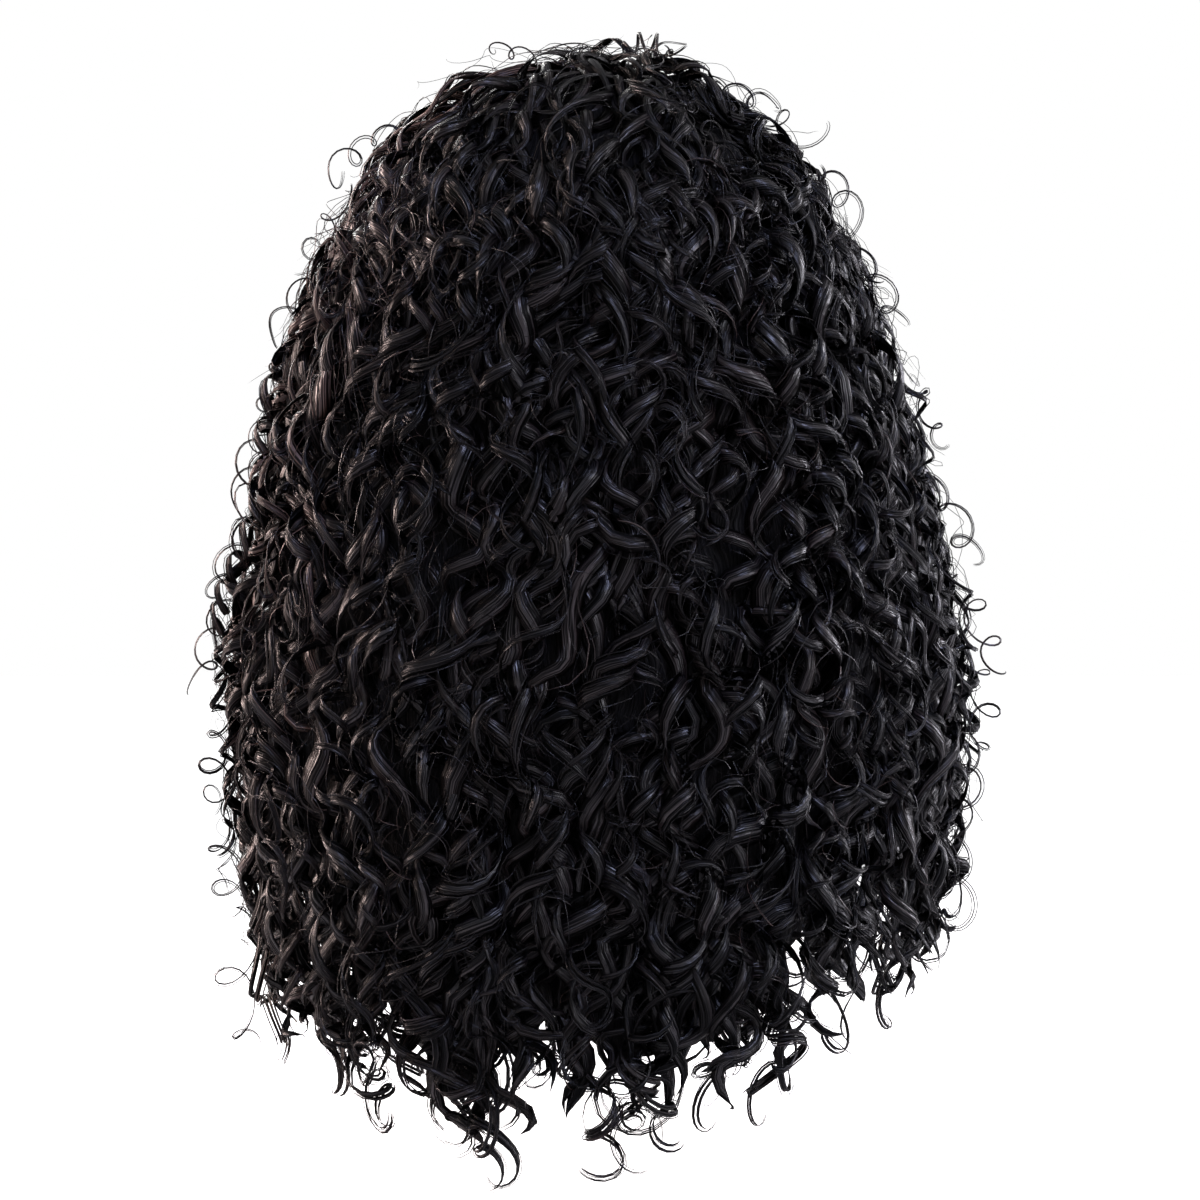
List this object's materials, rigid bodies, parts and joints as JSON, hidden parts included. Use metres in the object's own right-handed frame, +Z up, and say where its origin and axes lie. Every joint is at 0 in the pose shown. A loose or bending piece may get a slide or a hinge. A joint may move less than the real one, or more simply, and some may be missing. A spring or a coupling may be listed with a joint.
{
  "type": "long curly wig",
  "caption": "Long black wig of tight corkscrew curls on a thin stretch cap, full at the sides and open at the face and neck.",
  "frame": {"origin": "the crown point inside the cap, where the cap rests on the top of the head", "axes": "+Z up out of the crown, -Y the way the wearer looks, so +Y is the back of the wig and +X its left side"},
  "size_m": [0.3136, 0.2589, 0.449],
  "materials": {
    "cap": "matt black stretch net with rows of sewn weft",
    "hair": "off-black hair fibre with a soft sheen"
  },
  "bodies": {
    "root": {"cap": "cap", "crown_hair": "hair", "front_right_fall": "hair", "side_right_fall": "hair", "back_right_fall": "hair", "back_middle_fall": "hair", "back_left_fall": "hair", "side_left_fall": "hair", "front_left_fall": "hair"}
  },
  "joints": []
}
